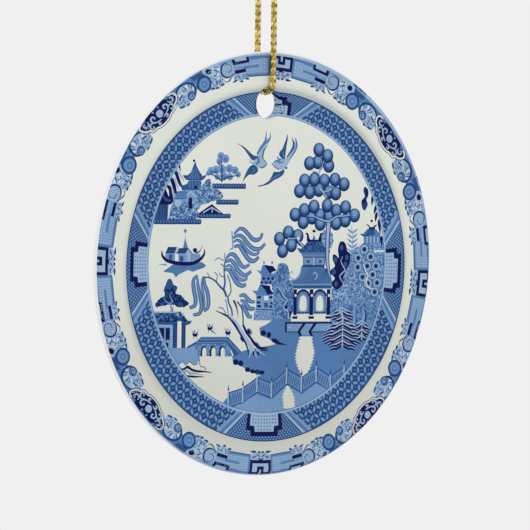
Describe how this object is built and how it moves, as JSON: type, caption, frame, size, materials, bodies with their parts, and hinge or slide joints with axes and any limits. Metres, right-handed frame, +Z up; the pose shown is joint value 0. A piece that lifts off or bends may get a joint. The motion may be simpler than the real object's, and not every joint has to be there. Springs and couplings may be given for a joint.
{
  "type": "hanging ornament",
  "caption": "Flat round glazed porcelain disc with a blue transfer-printed face, hung from a looped braided gold cord that passes through a hole near its rim.",
  "frame": {"origin": "inside of the cord loop's crown, where a hook carries the ornament", "axes": "+Z up along the hanging cord, the printed face looks along -Y, +X is to the right seen from the printed face"},
  "size_m": [0.073, 0.0054, 0.1336],
  "materials": {
    "porcelain": "glossy white glaze",
    "print": "blue transfer print under gloss",
    "gold_cord": "bright metallic braid"
  },
  "bodies": {
    "hanger": {"cord_crown": "gold_cord", "cord_knot": "gold_cord", "cord_tail_left": "gold_cord", "cord_tail_right": "gold_cord"},
    "loop": {"hanging_cord": "gold_cord"},
    "disc": {"porcelain_disc": "porcelain", "front_print": "print"}
  },
  "joints": [
    {"name": "cord_twist", "type": "hinge", "parent": "hanger", "child": "loop", "pos_m": [0, 0, -0.0062], "axis": [0, 0, 1], "range_deg": [-180, 180]},
    {"name": "disc_swing", "type": "hinge", "parent": "loop", "child": "disc", "pos_m": [0, 0, -0.06], "axis": [0, -1, 0], "range_deg": [-60, 60]}
  ]
}
